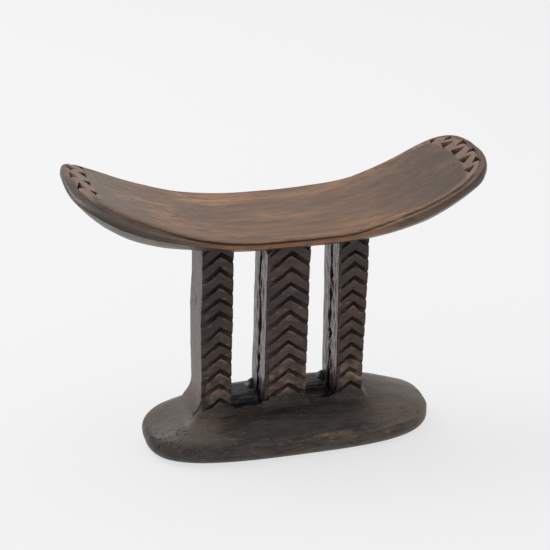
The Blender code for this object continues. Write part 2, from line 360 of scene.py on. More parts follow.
# Sections of the pillow's edge, each stop as (distance in from the outline, drop below the top) in
# millimetres. Along the sides a groove runs close under a crisp edge; to the right it climbs onto the edge
# and round the tip it lies inside a rolled rim. The left tip is rolled over without a groove, and the left
# shoulder falls away in a broad worn bevel, a hollow and a wide outer wall.
EDGE_SECTIONS = {
    "sides": (
        (2.2, 0.0), (1.3, 0.02), (0.7, 0.08), (0.35, 0.25), (0.2, 0.5), (0.25, 0.75), (0.6, 0.95), (0.8, 1.2),
        (0.6, 1.45), (0.25, 1.7), (0.05, 2.1), (0.0, 2.6), (0.1, 3.1), (0.45, 3.5), (1.1, 3.8),
    ),
    "right_run": (
        (5.2, 0.0), (4.0, 0.0), (3.4, 0.03), (3.05, 0.16), (2.85, 0.50), (2.65, 0.95), (2.35, 1.15),
        (1.95, 0.95), (1.4, 0.78), (0.8, 0.88), (0.3, 1.25), (0.05, 1.9), (0.02, 2.9), (0.2, 3.9), (0.8, 4.8),
    ),
    "right_tip": (
        (6.0, 0.0), (4.9, 0.0), (4.3, 0.02), (3.95, 0.12), (3.7, 0.34), (3.45, 0.48), (3.15, 0.48),
        (2.8, 0.34), (2.3, 0.26), (1.6, 0.34), (0.9, 0.70), (0.35, 1.5), (0.03, 2.8), (0.03, 4.3), (0.5, 5.7),
    ),
    "left_tip": (
        (6.8, 0.0), (5.6, 0.0), (4.6, 0.0), (3.8, 0.02), (3.2, 0.05), (2.6, 0.10), (2.1, 0.18), (1.7, 0.30),
        (1.3, 0.46), (0.9, 0.72), (0.6, 1.05), (0.3, 1.6), (0.1, 2.3), (0.0, 3.2), (0.4, 4.3),
    ),
    "left_shoulder": (
        (12.4, 0.0), (11.0, 0.02), (9.9, 0.10), (9.2, 0.30), (8.7, 0.70), (8.3, 1.25), (7.8, 1.75),
        (7.0, 2.00), (5.9, 1.98), (4.6, 1.85), (3.3, 1.92), (2.0, 2.25), (1.0, 2.95), (0.25, 4.0), (0.6, 5.2),
    ),
}
GROOVE_STOPS = dict(sides=7.0, right_run=6.5, right_tip=5.5, left_tip=5.5, left_shoulder=6.0)
ARRIS_STOPS = dict(sides=3.6, right_run=3.2, right_tip=3.2, left_tip=3.0, left_shoulder=3.4)
EDGE_PARTS = 2               # rings between two stops of a section

PILLOW_END_POWER = 12.0      # bluntness of the pillow's ends in plan
PILLOW_SIDE_POWER = 2.52     # roundness of its corners in plan
UNDERSIDE_BULGE = 2.3        # how full the underside is from the middle line out to the edge
LEFT_FLATTER = 0.35          # how much less full it is towards the left tip
TIP_LEAN, TIP_UPRIGHT = 0.36, 0.93   # the tips' surface leans in by this much for that much up
WOBBLE = 0.0015              # share by which a hand-cut outline strays inwards


def saddle(x, size):
    """Height of the pillow's top: flat in the middle, running out nearly straight to the tips."""
    share = np.abs(x) / (size.length / 2)
    full = (1 + size.turn ** -size.turn_power) ** (1 / size.turn_power) - 1
    turn = (1 + (share / size.turn) ** size.turn_power) ** (1 / size.turn_power) - 1
    return size.saddle_height + size.tip_rise * turn / full


def keel(x, size):
    """Height of the underside along the pillow's middle line."""
    share = np.clip(np.abs(x) / (size.length / 2), 0, 1)
    low = size.saddle_height - size.thickness
    high = size.saddle_height + size.tip_rise - size.tip_thickness
    power = np.where(np.asarray(x) < 0, size.left_underside_power, size.underside_power)
    return low + (high - low) * share ** power


def end_lift(x, size):
    """How far each end stands above the even curve; the left one is turned up more."""
    left = size.left_rise * ease(12 * MM, 52 * MM, -x) + size.left_lift * ease(72 * MM, 88 * MM, -x)
    return left + size.right_lift * ease(56 * MM, 84 * MM, x)


def edge_weights(x, y, size):
    """Share of each edge section at points round the pillow's outline; the shares add up to 1."""
    half = size.length / 2
    right_tip = ease(half - 17 * MM, half - 7 * MM, x)
    right_run = ease(22 * MM, 52 * MM, x) * (1 - right_tip)
    left_end = ease(half - 20 * MM, half - 7 * MM, -x)
    shoulder = ease(28 * MM, 76 * MM, -x) ** 1.4 * ease(0.0, 22 * MM, -y)
    left_tip = left_end * (1 - shoulder)
    taken = right_tip + right_run + left_tip + shoulder
    return dict(
        sides=1 - taken, right_run=right_run, right_tip=right_tip, left_tip=left_tip, left_shoulder=shoulder,
    )


def pillow_mesh(size):
    """The pillow's skin before the chip cuts, with its marks of wear, painted shade and painted sheen."""
    outline = closed_outline(size.length / 2, size.width / 2, PILLOW_END_POWER, PILLOW_SIDE_POWER, 720)
    flat = np.column_stack([outline, np.zeros(len(outline))])
    outline = outline * (1 - WOBBLE * (1 + unevenness(flat, 45 * MM, 3)))[:, None]
    x, y = outline.T
    centre = np.column_stack([x * 0.74, np.zeros(len(x))])
    inward = inward_from(outline, centre)

    weights = edge_weights(x, y, size)
    stops = np.arange(len(EDGE_SECTIONS["sides"]))
    fine = np.linspace(0, len(stops) - 1, (len(stops) - 1) * EDGE_PARTS + 1)
    edges = [np.transpose(edge) for edge in EDGE_SECTIONS.values()]
    sections = MM * np.array([[np.interp(fine, stops, line) for line in edge] for edge in edges])
    inset, drop = np.einsum("sc,sar->arc", np.stack(list(weights.values())), sections)

    top_share = np.linspace(0, 1, 53)[:-1, None]
    start = outline + inward * inset[0][:, None]
    top_xy = centre + (start - centre) * top_share[..., None]
    edge_xy = outline + inward * inset[..., None]
    end = edge_xy[-1]
    under_share = np.linspace(1, 0, 43)[1:, None]
    under_xy = centre + (end - centre) * under_share[..., None]

    top_z = saddle(top_xy[..., 0], size) + end_lift(top_xy[..., 0], size)
    edge_z = saddle(edge_xy[..., 0], size) + end_lift(edge_xy[..., 0], size) - drop
    lowest = edge_z[-1]
    keel_end = np.minimum(keel(end[:, 0], size), lowest)
    bulge = UNDERSIDE_BULGE - LEFT_FLATTER * ease(20 * MM, 50 * MM, -end[:, 0])
    under_z = keel(under_xy[..., 0], size) + (lowest - keel_end) * under_share ** bulge
    rings = stack_rings((top_xy, top_z), (edge_xy, edge_z), (under_xy, under_z))

    parts = [len(top_share), len(fine), len(under_share)]
    level = np.repeat(np.arange(3), parts)[:, None]
    place = np.concatenate([np.zeros(parts[0]), fine, np.full(parts[2], fine[-1])])[:, None]
    slow = unevenness(rings, 45 * MM, 5)
    quick = unevenness(rings, 7 * MM, 6, (2.5, 1, 1))
    facets = tool_facets(rings, 12 * MM, 7, (1.6, 1.0))
    fibre = unevenness(rings, 1.7 * MM, 8, (14, 1, 1))
    tooled = 0.10 * slow + 0.05 * quick + 0.018 * fibre + np.where(level == 0, 0.07, 0.16) * facets
    rings[..., 2] += MM * tooled

    from_outline = np.hypot(rings[..., 0] - x, rings[..., 1] - y)
    marks = pillow_marks(size, rings, weights, level, place, from_outline, slow, quick)
    rings[..., 2] += size.ribbon_rise * marks["border"]
    return skin_rings("pillow_carving", rings, marks, folded=True)


def pillow_marks(size, rings, weights, level, place, from_outline, slow, quick):
    """Wear, darker staining with painted shade, and painted sheen on the pillow. Level is 0 on top, 1 on the
    edge and 2 underneath, and place counts the stops of the edge sections."""
    x, y = rings[..., 0], rings[..., 1]
    on_top, in_edge = level == 0, level == 1
    under = (level == 2) | (in_edge & (place > 13))
    shoulder, left_tip = weights["left_shoulder"], weights["left_tip"]
    rolled = weights["right_run"] + weights["right_tip"]
    broken = 0.55 + 0.45 * unevenness(rings, 6 * MM, 9, (1.6, 1, 1))
    right_end, left_end = ease(30 * MM, 75 * MM, x), ease(-35 * MM, -75 * MM, x)

    # the groove under the crisp edge, which is painted black as its shade further on
    groove_stop = sum(weights[key] * GROOVE_STOPS[key] for key in weights)
    groove_spread = 1.4 + 2.2 * shoulder + 0.3 * rolled
    groove = in_edge * hump(place, groove_stop, groove_spread) * (0.8 + 0.2 * quick) * (1 - left_tip)

    # rubbed wood: the arris above the groove, the right rim, both long edges of the top, and the side band
    arris_stop = sum(weights[key] * ARRIS_STOPS[key] for key in weights)
    arris = in_edge * hump(place, arris_stop, 1.3 + 0.7 * shoulder)
    bright_shoulder = 1.2 * shoulder * (hump(x, -72 * MM, 9 * MM) + 0.25) * (y < 0)
    bright_side = 0.6 * hump(x, 26 * MM, 20 * MM) + 0.3 * ease(-30 * MM, 0.0, x) * ease(50 * MM, 30 * MM, x)
    rubbing = np.clip(bright_shoulder + bright_side, 0, 1) * np.clip(broken + 0.25 * shoulder, 0, 1)
    worn = arris * rubbing * np.where(y < 0, 1.0, 0.7)
    rim_wear = ease(7.5, 9.0, place) * ease(30 * MM, 50 * MM, x) * ease(82 * MM, 70 * MM, x)
    worn = worn + 0.35 * in_edge * rim_wear * broken
    near, far = ease(-6 * MM, -22 * MM, y), ease(12 * MM, 26 * MM, y)
    worn = worn + on_top * (0.30 * near + 0.34 * far) * ease(75 * MM, 45 * MM, np.abs(x)) * broken
    band = in_edge * ease(7.6, 9.0, place) * (1 - ease(12.5, 14.0, place))
    band_wear = band * ease(-45 * MM, -30 * MM, x) * (1 - ease(25 * MM, 50 * MM, x))
    worn = worn + 1.1 * band_wear * np.clip(broken + 0.2, 0, 1)

    inside = ease(2.4 * MM, 3.4 * MM, from_outline * (level < 2)) * (1 - groove) * (level < 2)
    border = border_band(x, y, size) * inside
    wall = in_edge * ease(7.5, 9.0, place) * np.clip(shoulder + left_tip, 0, 1)
    rim = in_edge * ease(6.5, 8.0, place) * right_end
    # painted shade: black in the groove and over the underside; the top also darker towards the right end,
    # the right rim and the left end's lower wall darker, the ribbon lighter
    stain_and_shade = 0.95 * groove + 0.75 * under * (1 - 0.4 * left_end) + 0.52 * right_end * on_top
    stain_and_shade = stain_and_shade + 0.42 * rim + 0.50 * wall - 0.3 * border
    # painted sheen: mauve-grey over the right end's top and rim, the left end, the underside and the left
    # end's lower wall
    film = 0.25 * right_end * on_top + 0.5 * rim * ease(70 * MM, 82 * MM, x)
    film = film + 0.55 * left_end + 0.25 * under + 0.25 * wall
    return {
        "worn": np.clip(worn, 0, 1),
        "stain_and_shade": np.clip(stain_and_shade, 0, 1),
        "painted_sheen": np.clip(film * (0.8 + 0.3 * slow) * (1 - border), 0, 1),
        "polish": 0.3 * on_top,
        "border": border,
    }


# The rows of cuts, outer before inner at each tip: how far the middle of the row lies in from the tip, how
# far its ends curve back, how far it sits off the pillow's middle line, whether the cuts point out to the
# tip (1) or in (-1), their scale, and how much broader they are than long. The left tip has shorter cuts.
BORDER_ROWS = (
    dict(side=1, count="Outer cuts", inset=3.9 * MM, bow=9.0 * MM, shift=0.8 * MM, points=-1, scale=0.84,
         broad=1.0),
    dict(side=1, count="Inner cuts", inset=8.7 * MM, bow=5.5 * MM, shift=2.0 * MM, points=1, scale=1.0,
         broad=1.0),
    dict(side=-1, count="Outer cuts", inset=5.2 * MM, bow=7.0 * MM, shift=9.0 * MM, points=-1, scale=0.66,
         broad=1.75),
    dict(side=-1, count="Inner cuts", inset=11.0 * MM, bow=3.0 * MM, shift=12.5 * MM, points=1, scale=0.66,
         broad=1.75),
)


def border_band(x, y, size):
    """1 on the zigzag band across each tip, 0 elsewhere."""
    band = np.zeros_like(x)
    for outer, inner in (BORDER_ROWS[:2], BORDER_ROWS[2:]):
        in_from_tip = size.length / 2 - x * outer["side"]
        reach = size.cut_radius * outer["scale"] / 2 + 0.1 * MM
        out = (y - outer["shift"]) / (size.width / 2)
        back = (y - inner["shift"]) / (size.width / 2)
        beyond = in_from_tip - (outer["inset"] - reach + outer["bow"] * out ** 2)
        before = inner["inset"] + reach + inner["bow"] * back ** 2 - in_from_tip
        ends = (size.inner_cuts / 2 + 0.1) * size.cut_pitch - np.abs(y - inner["shift"])
        across = ease(-0.3 * MM, 0.2 * MM, beyond) * ease(-0.2 * MM, 0.2 * MM, before)
        band += across * ease(-0.5 * MM, 1.5 * MM, ends)
    return band


def shading_blade(tree, sides, top, bottom, height, drop, stain_and_shade):
    """A tapered blade sunk by the drop, which paints the faces that it cuts dark, as painted shade."""
    cone = add_node(tree, "GeometryNodeMeshCone", inputs={
        "Vertices": sides, "Radius Top": top, "Radius Bottom": bottom, "Depth": height,
    }).outputs["Mesh"]
    sunk = add_node(tree, "GeometryNodeTransform", inputs={"Geometry": cone, "Translation": drop})
    return add_node(tree, "GeometryNodeStoreNamedAttribute", POINT_SHARE, {
        "Geometry": sunk.outputs[0], "Name": "stain_and_shade", "Value": stain_and_shade,
    }).outputs[0]


def places_below(tree, given, count, above):
    """As many points as the count, each on the wood straight under its place above it."""
    hit = add_node(tree, "GeometryNodeRaycast", inputs={
        "Target Geometry": given["Geometry"], "Source Position": above, "Ray Direction": (0.0, 0.0, -1.0),
        "Ray Length": 2.0,
    })
    return add_node(tree, "GeometryNodePoints", inputs={
        "Count": count, "Position": hit.outputs["Hit Position"],
    }).outputs[0]


def cut_away(tree, given, blades):
    """Cut the blades out of the wood and send it out."""
    real = add_node(tree, "GeometryNodeRealizeInstances", inputs={"Geometry": blades})
    carved = add_node(tree, "GeometryNodeMeshBoolean", {"operation": "DIFFERENCE", "solver": "MANIFOLD"}, {
        "Mesh 1": given["Geometry"], "Mesh 2": real.outputs[0],
    })
    close_tree(tree, carved.outputs[0], given["Wood"])


def border_tree():
    """Rows of three-sided chip cuts bowed across both tips, sunk square to the surface they land on."""
    tree, given = new_tree("border_pits", {
        "Outer cuts": "Int", "Inner cuts": "Int", "Pitch": "Float", "Top radius": "Float",
        "Floor radius": "Float", "Height": "Float", "Drop": "Vector", "Half length": "Float",
        "Half width": "Float", "Unevenness": "Float", "Seed": "Int", "Wood": "Material",
    })
    # the chip cuts are painted nearly black as their shade
    blade = shading_blade(
        tree, 3, given["Top radius"], given["Floor radius"], given["Height"], given["Drop"], 0.95,
    )
    rows = add_node(tree, "GeometryNodeJoinGeometry")
    for number, row in enumerate(BORDER_ROWS):
        side, count = row["side"], given[row["count"]]
        seed = add_node(tree, "ShaderNodeMath", PLUS, {0: given["Seed"], 1: 10.0 * number})
        nudge = add_node(tree, "FunctionNodeRandomValue", {"data_type": "FLOAT_VECTOR"}, {
            "Min": (-1.0, -1.0, -1.0), "Max": (1.0, 1.0, 1.0), "Seed": seed.outputs[0],
        })
        nudge = add_node(tree, "ShaderNodeSeparateXYZ", inputs={0: nudge.outputs[0]}).outputs

        # the cut's place along the row, out from its middle, then where that lies on the pillow
        index = add_node(tree, "GeometryNodeInputIndex").outputs[0]
        middle = add_node(tree, "ShaderNodeMath", TIMES_PLUS, {0: count, 1: 0.5, 2: -0.5}).outputs[0]
        steps = add_node(tree, "ShaderNodeMath", MINUS, {0: index, 1: middle}).outputs[0]
        even = add_node(tree, "ShaderNodeMath", TIMES, {0: steps, 1: given["Pitch"]}).outputs[0]
        along = add_node(tree, "ShaderNodeMath", TIMES_PLUS, {
            0: nudge[1], 1: given["Unevenness"], 2: even,
        }).outputs[0]
        out = add_node(tree, "ShaderNodeMath", OVER, {0: along, 1: given["Half width"]}).outputs[0]
        square = add_node(tree, "ShaderNodeMath", TIMES, {0: out, 1: out}).outputs[0]
        inset = add_node(tree, "ShaderNodeMath", TIMES_PLUS, {
            0: square, 1: row["bow"], 2: row["inset"],
        }).outputs[0]
        x = add_node(tree, "ShaderNodeMath", MINUS, {0: given["Half length"], 1: inset}).outputs[0]
        x = add_node(tree, "ShaderNodeMath", TIMES, {0: x, 1: float(side)}).outputs[0]
        y = add_node(tree, "ShaderNodeMath", PLUS, {0: along, 1: row["shift"]}).outputs[0]
        above = add_node(tree, "ShaderNodeCombineXYZ", inputs={"X": x, "Y": y, "Z": 1.0}).outputs[0]

        # square to the rising tip, turned a little with the bow of the row and by chance
        upright = add_node(tree, "FunctionNodeAlignRotationToVector", {"axis": "Z"}, {
            "Vector": (-TIP_LEAN * side, 0.0, TIP_UPRIGHT),
        })
        facing = 0.0 if side * row["points"] > 0 else math.pi
        swing = add_node(tree, "ShaderNodeMath", TIMES_PLUS, {0: nudge[0], 1: 0.16, 2: facing}).outputs[0]
        twist = add_node(tree, "ShaderNodeMath", TIMES_PLUS, {0: out, 1: -0.42 * side, 2: swing}).outputs[0]
        spin = add_node(tree, "FunctionNodeAxisAngleToRotation", inputs={
            "Axis": (0.0, 0.0, 1.0), "Angle": twist,
        })
        turned = add_node(tree, "FunctionNodeRotateRotation", {"rotation_space": "LOCAL"}, {
            "Rotation": upright.outputs[0], "Rotate By": spin.outputs[0],
        })

        # smaller towards the ends of the row
        shrink = add_node(tree, "ShaderNodeMath", TIMES_PLUS, {0: square, 1: -0.38, 2: 1.06}).outputs[0]
        scale = add_node(tree, "ShaderNodeMath", TIMES_PLUS, {0: nudge[2], 1: 0.08, 2: shrink}).outputs[0]
        scale = add_node(tree, "ShaderNodeMath", TIMES, {0: scale, 1: row["scale"]}).outputs[0]
        broad = add_node(tree, "ShaderNodeMath", TIMES, {0: scale, 1: row["broad"]}).outputs[0]
        scale = add_node(tree, "ShaderNodeCombineXYZ", inputs={"X": scale, "Y": broad, "Z": 1.0}).outputs[0]
        blades = add_node(tree, "GeometryNodeInstanceOnPoints", inputs={
            "Points": places_below(tree, given, count, above), "Instance": blade,
            "Rotation": turned.outputs[0], "Scale": scale,
        })
        tree.links.new(blades.outputs[0], rows.inputs[0])
    cut_away(tree, given, rows.outputs[0])
    return tree


# ---------------------------------------------------------------- posts

def post_ends(name):
    """Middle and width of a frame post at its foot and at its head, with their heights."""
    points = np.array([vert.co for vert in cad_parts[name].data.vertices])
    height = points[:, 2]
    ends = []
    foot, head = height.min(), height.max()
    for level, near in ((foot, height < foot + 4 * MM), (head, height > head - 2.5 * MM)):
        low, high = points[near, 0].min(), points[near, 0].max()
        ends.append(((low + high) / 2, high - low, level))
    return ends


# Rows of points down one ledge, as shares of its height, closest together round the cut.
LEDGE_STEPS = (
    0.0, 0.015, 0.035, 0.065, 0.10, 0.14, 0.18, 0.22, 0.25, 0.28, 0.31, 0.34, 0.37, 0.40, 0.43, 0.46, 0.50,
    0.56, 0.64, 0.73, 0.82, 0.91, 0.97,
)


def ledge_rows(plan, size, low, high):
    """Apex height and level of each row of points on a post, closest together round the cuts."""
    steps = np.array(LEDGE_STEPS)
    chance = np.random.default_rng(plan["seed"])
    rows, count = [], plan["ledges"]
    heights = plan["lowest"] + plan["pitch"] * np.arange(count)[::-1]
    heights = heights + chance.uniform(-1, 1, count) * size.unevenness
    heights = np.append(heights, heights[-1] - plan["pitch"] * 3.0)
    for number in range(count):
        span = heights[number] - heights[number + 1]
        share = steps if number < count - 1 else steps * plan["pitch"] / span
        rows += [(heights[number] - span * s, number + f) for s, f in zip(share, steps)]
    plain = np.linspace(rows[-1][0], low, 26)[1:]
    rows += [(z, count - 0.02) for z in plain]
    rows = np.array(rows)
    return rows[(rows[:, 0] < high) & (rows[:, 0] >= low)]


CORNER = 0.7 * MM            # rounding of a post's upright edges
FACE_SHARE = 0.94            # the front's and the back's stops end here, before the corners
FOOTING = 14 * MM            # how far a post runs down into the base
HEADROOM = 2 * MM            # how far its head stays under the pillow's top
CHEEK = 0.22 * POST_DEPTH    # how far back the ledges reach round the edges
FLARE_HEIGHT = 7.5 * MM      # the left post's foot runs out to the left from here down
FLARE_OUT = 2.6 * MM


def post_section():
    """Stops round a post, counter-clockwise from the front left corner: front, right side, back, left side.

    Each is its share of the half-width, its step in from there, its share of the half-depth and its step in
    from there, the steps in corner radii."""
    bend = np.linspace(0, math.pi / 2, 6)[1:-1]
    flat = 1 - CORNER / (POST_DEPTH / 2)
    half = [(FACE_SHARE * t, 0.0, -1.0, 0.0) for t in np.linspace(-1, 1, 61)]
    half += [(1.0, math.sin(a) - 1, -1.0, 1 - math.cos(a)) for a in bend]
    half += [(1.0, 0.0, flat * t, 0.0) for t in np.linspace(-1, 1, 47)]
    half += [(1.0, math.cos(a) - 1, 1.0, math.sin(a) - 1) for a in bend]
    return np.vstack([half, -np.array(half)]).T


def side_channels(plan, points, side):
    """Depth of the hollows down a post's sides, which break up into separate scoops, and of a short check."""
    y, z, seed = points[..., 1], points[..., 2], plan["seed"]
    channel = np.zeros_like(y)
    upright = points * (0, 0, 1)
    for sign, key in ((-1, "left"), (1, "right")):
        deep, broken = plan[key]
        if deep:
            line = 1.0 * MM * unevenness(upright, 26 * MM, seed + 3 + sign)
            wide = 1.5 * MM * (1 + 0.35 * unevenness(upright, 9 * MM, seed + 5 + sign))
            pause = broken * (1 - np.abs((z / (9.5 * MM)) % 1.0 - 0.5) * 2)
            wide = np.maximum(wide * (1 - 0.75 * pause), 0.5 * MM)
            channel += (side == sign) * deep * (1 - 0.55 * pause) * np.exp(-np.abs((y - line) / wide) ** 2.6)
    if "check" in plan:
        check_y, check_z = plan["check"]
        length_share = np.exp(-((z - check_z) / (2.2 * MM)) ** 4)
        channel += 0.7 * MM * (side == -1) * hump(y, check_y, 0.45 * MM) * length_share
    return channel


def post_mesh(name, plan, size, pillow, base):
    """A post's skin before its ledges are cut, with its hollowed sides, its marks of wear, painted shade and
    painted sheen.
    """
    (foot_x, foot_width, foot_z), (head_x, head_width, head_z) = post_ends(name)
    centre_x = (foot_x + head_x) / 2
    low = base_top(np.array([centre_x]), np.array([0.0]), base)[0] - FOOTING
    rows = ledge_rows(plan, size, low, saddle(centre_x, pillow) - HEADROOM)
    apex_z, level = rows[:, :1], rows[:, 1:]
    u, du, v, dv = post_section()
    seed = plan["seed"]

    share = (apex_z - foot_z) / (head_z - foot_z)
    middle = foot_x + (head_x - foot_x) * share
    half = (foot_width + (head_width - foot_width) * share) / 2
    across = np.where(np.abs(u) < 0.97, u / FACE_SHARE * (1 - CORNER / half), u)
    x = middle + half * across + CORNER * du
    y = POST_DEPTH / 2 * v + CORNER * dv + np.zeros_like(x)
    level = level + np.zeros_like(x)

    # each ledge falls away on both sides of its apex, and no two alike
    chance = np.random.default_rng(seed + 1)
    knots = np.arange(plan["ledges"] + 2)
    sway = 0.5 * MM * chance.uniform(-1, 1, len(knots))
    slope_left = size.slope + 0.07 * chance.uniform(-1, 1, len(knots))
    slope_right = size.slope + 0.07 * chance.uniform(-1, 1, len(knots))
    apex_x = middle + plan["apex"] + np.interp(level, knots, sway)
    fall = np.where(x < apex_x, np.interp(level, knots, slope_left), np.interp(level, knots, slope_right))
    waver = unevenness(np.dstack([x, np.zeros_like(x), level * 5 * MM]), 4.5 * MM, seed + 2)
    z = apex_z - fall * np.abs(x - apex_x) + 0.20 * MM * waver
    points = np.dstack([x, y, z])

    # how deep the ledges go: full at the apex, less out along the arms, none past the plain margin
    from_edge = x - (middle - half)
    front = np.clip(1 - (v * POST_DEPTH / 2 + POST_DEPTH / 2 - CORNER) / CHEEK, 0, 1)
    back = np.clip(1 - (POST_DEPTH / 2 - CORNER - v * POST_DEPTH / 2) / CHEEK, 0, 1)
    margin = ease(0.35, 1.25, from_edge / plan["margin"]) if plan["margin"] else 1.0
    arm = np.clip(np.abs(x - apex_x) / half, 0, 1)
    face = (front * margin - back * ease(0.2, 1.2, from_edge / (1.3 * MM))) * (1 - 0.55 * arm ** 1.3)

    side = np.sign(u) * (np.abs(u) > 0.97) * (np.abs(v) < 0.999)
    channel = side_channels(plan, points, side)
    hacked = (plan["left"][0] > 0) * (side == -1) + (plan["right"][0] > 0) * (side == 1)
    rough = unevenness(points, 3.2 * MM, seed + 8, (1, 1, 2.0))
    fine = unevenness(points, 1.5 * MM, seed + 10, (1, 1, 3.0))
    bumps = MM * (0.10 * unevenness(points, 22 * MM, seed + 9) + 0.03 * rough)
    inner = np.cos(np.clip(y / (POST_DEPTH / 2), -1, 1) * math.pi / 2)
    chopped = MM * hacked * inner * (0.20 * rough + 0.07 * fine)
    x = x + np.sign(u) * ((np.abs(u) > 0.97) * (bumps + chopped) - channel)
    y = y + np.sign(v) * (np.abs(v) > 0.99) * bumps

    ground = base_top(x, y, base)
    if name == "left_post":
        lift = np.clip(1 - (z - ground) / FLARE_HEIGHT, 0, 1.2)
        x = x - (u < -0.97) * (FLARE_OUT * lift ** 2.2 + 0.9 * MM * ease(88 * MM, 60 * MM, z))
    points = np.dstack([x, y, z])

    # painted shade: black under the pillow, round the foot where the post meets the base (higher up on the
    # hollowed sides), and down the hollows by their depth
    near_head = ease(9 * MM, 0.5 * MM, keel(x, pillow) - z)
    outer = (plan["left"][0] == 0) * (side == -1) + (plan["right"][0] == 0) * (side == 1)
    black_foot = np.where(hacked > 0, ease(17 * MM, 8 * MM, z - ground), ease(7 * MM, 0.0, z - ground))
    foot_shade = (0.35 + 0.65 * hacked) * black_foot * (1 - outer)
    warm_foot = plan["warmth"] * ease(52 * MM, 26 * MM, z) * (np.abs(face) > 0.5)
    marks = {
        "level": level,
        "face": face,
        "worn": np.clip(warm_foot * (0.5 + 0.5 * unevenness(points, 5 * MM, seed + 12)), 0, 1),
        "stain_and_shade": np.clip(channel / (0.9 * MM) + 0.05 * hacked + 0.4 * near_head + foot_shade, 0, 1),
        # painted sheen on the outer and the hollowed sides
        "painted_sheen": np.clip(0.85 * outer + hacked, 0, 1),
        "polish": 1.0 * hacked,
    }
    return skin_rings(name + "_carving", points, marks, folded=False)


# Down one ledge, from the lower edge of the ledge above (0) to its own lower edge (1): how deep the cut is,
# how dark its painted shade is, and how rubbed it is, the rubbed lip partly a painted highlight.
CUT_PROFILE = ((0.0, 0.0), (0.03, 0.12), (0.22, 1.0), (0.27, 0.96), (0.37, 0.06), (0.41, 0.0), (1.0, 0.0))
SHADE_PROFILE = ((0.0, 0.12), (0.05, 0.7), (0.24, 0.95), (0.31, 0.45), (0.37, 0.0), (0.9, 0.0), (1.0, 0.12))
LIP_PROFILE = ((0.0, 0.0), (0.30, 0.0), (0.37, 1.0), (0.41, 0.8), (0.48, 0.08), (0.9, 0.0), (1.0, 0.0))


def ledge_tree():
    """Cuts one ledge per whole level into the front and the back of a post, paints shade in the hollows
    and wear with a painted highlight on the lips.
    """
    tree, given = new_tree("carved_ledges", {
        "Depth": "Float", "Chatter": "Float", "Chatter scale": "Float", "Lip scale": "Float",
        "Lip wear and highlight": "Float", "Wood": "Material",
    })
    mark = {}
    for key in ("level", "face", "stain_and_shade", "worn"):
        named = add_node(tree, "GeometryNodeInputNamedAttribute", {"data_type": "FLOAT"}, {"Name": key})
        mark[key] = named.outputs[0]
    down = add_node(tree, "ShaderNodeMath", {"operation": "FRACT"}, {0: mark["level"]}).outputs[0]
    profiles = []
    for stops in (CUT_PROFILE, SHADE_PROFILE, LIP_PROFILE):
        curve = add_node(tree, "ShaderNodeFloatCurve", inputs={"Value": down})
        line = curve.mapping.curves[0]
        line.points[0].location = stops[0]
        line.points[1].location = stops[-1]
        for stop in stops[1:-1]:
            line.points.new(*stop)
        for point in line.points:
            point.handle_type = "VECTOR"
        curve.mapping.update()
        profiles.append(curve.outputs[0])
    cut, shade, lip = profiles

    # the depth wanders along each cut
    chatter = add_node(tree, "ShaderNodeTexNoise", inputs={"Scale": given["Chatter scale"], "Detail": 2.0})
    wander = add_node(tree, "ShaderNodeMath", MINUS, {0: chatter.outputs["Fac"], 1: 0.5})
    uneven = add_node(tree, "ShaderNodeMath", TIMES_PLUS, {0: wander.outputs[0], 1: given["Chatter"], 2: 1.0})
    push = mark["face"]
    for share in (cut, given["Depth"], uneven.outputs[0]):
        push = add_node(tree, "ShaderNodeMath", TIMES, {0: push, 1: share}).outputs[0]
    offset = add_node(tree, "ShaderNodeCombineXYZ", inputs={"Y": push}).outputs[0]
    carved = add_node(tree, "GeometryNodeSetPosition", inputs={
        "Geometry": given["Geometry"], "Offset": offset,
    })

    # the lips are rubbed and given a painted highlight in broken patches, and only where the cuts are deep
    cloud = add_node(tree, "ShaderNodeTexNoise", inputs={"Scale": given["Lip scale"]})
    patches = add_node(tree, "ShaderNodeMapRange", inputs={
        "Value": cloud.outputs["Fac"], "From Min": 0.40, "From Max": 0.58, "To Min": 0.05, "To Max": 1.0,
    })
    for share in (patches.outputs[0], given["Lip wear and highlight"]):
        lip = add_node(tree, "ShaderNodeMath", TIMES, {0: lip, 1: share}).outputs[0]
    amount = add_node(tree, "ShaderNodeMath", TIMES, {0: mark["face"], 1: mark["face"]})
    geometry = carved.outputs[0]
    # painted shade in each cut, rubbed colour with a painted highlight on each lip
    for key, share in (("stain_and_shade", shade), ("worn", lip)):
        total = add_node(tree, "ShaderNodeMath", TIMES_PLUS, {0: share, 1: amount.outputs[0], 2: mark[key]})
        geometry = add_node(tree, "GeometryNodeStoreNamedAttribute", POINT_SHARE, {
            "Geometry": geometry, "Name": key, "Value": total.outputs[0],
        }).outputs[0]
    close_tree(tree, geometry, given["Wood"])
    return tree


# ---------------------------------------------------------------- base

PRICK_RADIUS = 0.36 * MM     # one small prick at the left end, before chance makes it larger or smaller
PRICK_DEPTH = 1.0 * MM
TROUGH_FRONT = 12.5 * MM     # the hollows between the posts end this far in front of the middle


def post_feet():
    """Middle and width of each post at its foot, from left to right."""
    return sorted(post_ends(name)[0][:2] for name in POST_PLANS)


def spaces_between():
    """Left and right end of each space between two posts' feet."""
    feet = post_feet()
    return [(one_x + one_w / 2, two_x - two_w / 2) for (one_x, one_w), (two_x, two_w) in zip(feet, feet[1:])]


